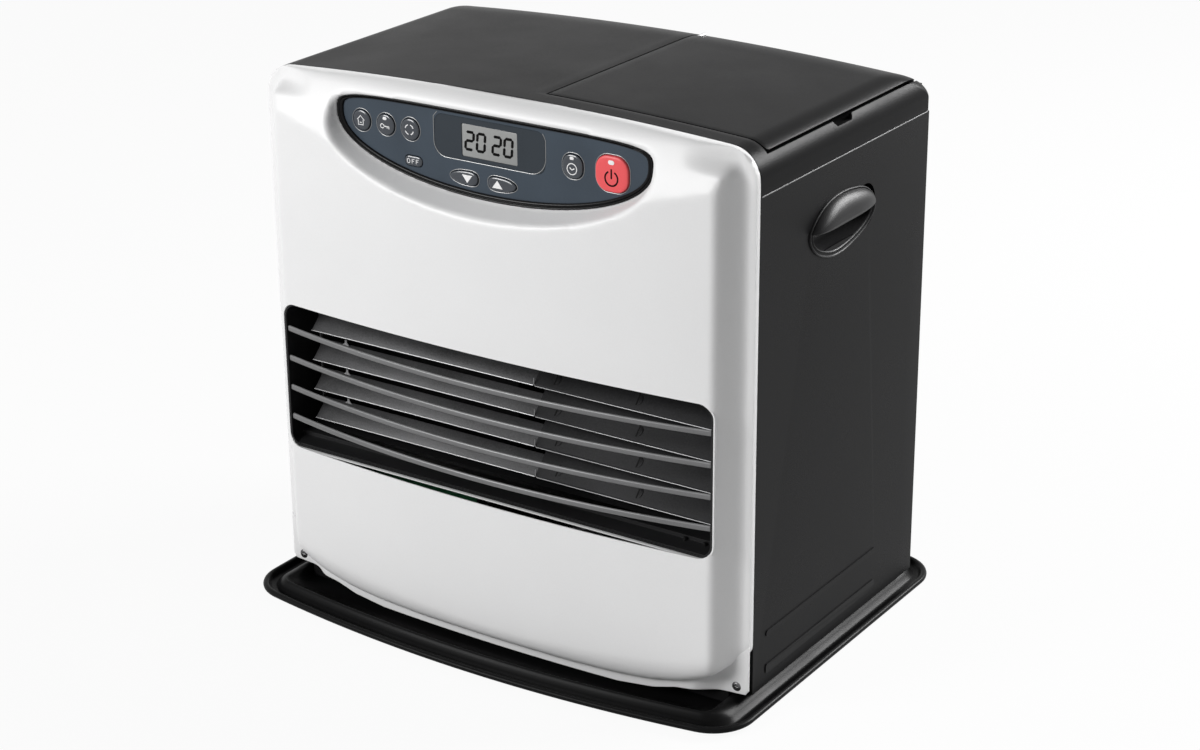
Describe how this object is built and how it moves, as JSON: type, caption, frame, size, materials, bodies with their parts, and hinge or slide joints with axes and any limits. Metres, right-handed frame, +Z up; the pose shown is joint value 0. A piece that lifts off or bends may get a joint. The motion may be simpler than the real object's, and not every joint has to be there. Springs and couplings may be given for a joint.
{
  "type": "paraffin heater",
  "caption": "Portable fan-assisted paraffin heater: bowed front with a barred outlet, control panel, hinged lid over a cartridge tank, side handles and a drip tray.",
  "frame": {"origin": "on the floor under the middle of the tray", "axes": "+X to the heater's right as seen from the front, -Y out of its front, +Z up"},
  "size_m": [0.484, 0.378, 0.467],
  "materials": {
    "black_enamel": "semi-gloss black enamel",
    "black_panel": "fine-textured satin black",
    "white_panel": "off-white satin powder coat",
    "black_plastic": "fine-grained satin",
    "bezel_plastic": "gloss",
    "overlay_film": "dark slate film",
    "display_surround": "dark blue-black film",
    "display_glass": "grey liquid crystal display",
    "key_plastic": "dark blue moulding",
    "power_plastic": "coral red moulding",
    "circuit_board": "green lacquer",
    "black_component": "moulded",
    "dark_steel": "satin dark grey",
    "zinc_steel": "zinc-plated sheet",
    "heat_steel": "heat-tinted steel",
    "ceramic": "white ceramic",
    "motor_metal": "plain steel",
    "fan_aluminium": "stamped",
    "cap_plastic": "red moulding",
    "copper_line": "drawn tube",
    "screw_steel": "blackened",
    "foot_rubber": "moulded"
  },
  "bodies": {
    "casing": {"floor_tray": "black_enamel", "rubber_feet": "foot_rubber", "base_pan": "black_panel", "left_side_panel": "black_panel", "right_side_panel": "black_panel", "rear_panel": "black_panel", "front_panel": "white_panel", "top_cover": "black_plastic", "lid_hinge_pins": "zinc_steel", "left_handle": "black_plastic", "right_handle": "black_plastic", "control_bezel": "bezel_plastic", "control_overlay": "overlay_film", "display_frame": "display_surround", "display_window": "display_glass", "control_board": "circuit_board", "key_switches": "black_component", "guard_bar_1": "dark_steel", "guard_bar_2": "dark_steel", "guard_bar_3": "dark_steel", "guard_bar_4": "dark_steel", "outlet_frame": "dark_steel", "outlet_vanes": "dark_steel", "outlet_blank": "dark_steel", "air_duct": "zinc_steel", "combustion_chamber": "heat_steel", "burner_head": "heat_steel", "burner_pot": "heat_steel", "igniter": "ceramic", "flame_rod": "ceramic", "fan_bracket": "zinc_steel", "fan_motor": "motor_metal", "fan_guard": "black_component", "air_filter": "black_component", "blower_housing": "fan_aluminium", "blower_motor": "motor_metal", "main_board": "circuit_board", "board_bracket": "zinc_steel", "transformer": "motor_metal", "fixed_tank": "zinc_steel", "tank_well": "zinc_steel", "cartridge_tank": "zinc_steel", "tank_cap": "cap_plastic", "tank_handle": "black_plastic", "fuel_pump": "motor_metal", "fuel_line": "copper_line", "tilt_switch": "black_component", "cord_bush": "black_component", "casing_screws": "screw_steel"},
    "lid": {"tank_lid": "black_plastic"},
    "fan": {"convection_fan": "fan_aluminium"},
    "blower": {"blower_impeller": "fan_aluminium"},
    "eco": {"eco_key": "key_plastic"},
    "lock": {"lock_key": "key_plastic"},
    "clean": {"clean_key": "key_plastic"},
    "hours": {"hours_key": "key_plastic"},
    "down": {"down_key": "key_plastic"},
    "up": {"up_key": "key_plastic"},
    "timer": {"timer_key": "key_plastic"},
    "power": {"power_key": "power_plastic"}
  },
  "joints": [
    {"name": "lid_hinge", "type": "hinge", "parent": "casing", "child": "lid", "pos_m": [0.03245, 0, 0.46429], "axis": [0, -1, 0], "range_deg": [0, 95]},
    {"name": "fan_spin", "type": "hinge", "parent": "casing", "child": "fan", "pos_m": [-0.09, 0.124, 0.225], "axis": [0, 1, 0], "continuous": true},
    {"name": "blower_spin", "type": "hinge", "parent": "casing", "child": "blower", "pos_m": [-0.09, 0.089, 0.072], "axis": [1, 0, 0], "continuous": true},
    {"name": "eco_press", "type": "slide", "parent": "casing", "child": "eco", "axis": [0, 1, 0], "range_m": [0, 0.001], "stiffness_N_per_m": 400},
    {"name": "lock_press", "type": "slide", "parent": "casing", "child": "lock", "axis": [0, 1, 0], "range_m": [0, 0.001], "stiffness_N_per_m": 400},
    {"name": "clean_press", "type": "slide", "parent": "casing", "child": "clean", "axis": [0, 1, 0], "range_m": [0, 0.001], "stiffness_N_per_m": 400},
    {"name": "hours_press", "type": "slide", "parent": "casing", "child": "hours", "axis": [0, 1, 0], "range_m": [0, 0.001], "stiffness_N_per_m": 400},
    {"name": "down_press", "type": "slide", "parent": "casing", "child": "down", "axis": [0, 1, 0], "range_m": [0, 0.001], "stiffness_N_per_m": 400},
    {"name": "up_press", "type": "slide", "parent": "casing", "child": "up", "axis": [0, 1, 0], "range_m": [0, 0.001], "stiffness_N_per_m": 400},
    {"name": "timer_press", "type": "slide", "parent": "casing", "child": "timer", "axis": [0, 1, 0], "range_m": [0, 0.001], "stiffness_N_per_m": 400},
    {"name": "power_press", "type": "slide", "parent": "casing", "child": "power", "axis": [0, 1, 0], "range_m": [0, 0.001], "stiffness_N_per_m": 400}
  ]
}
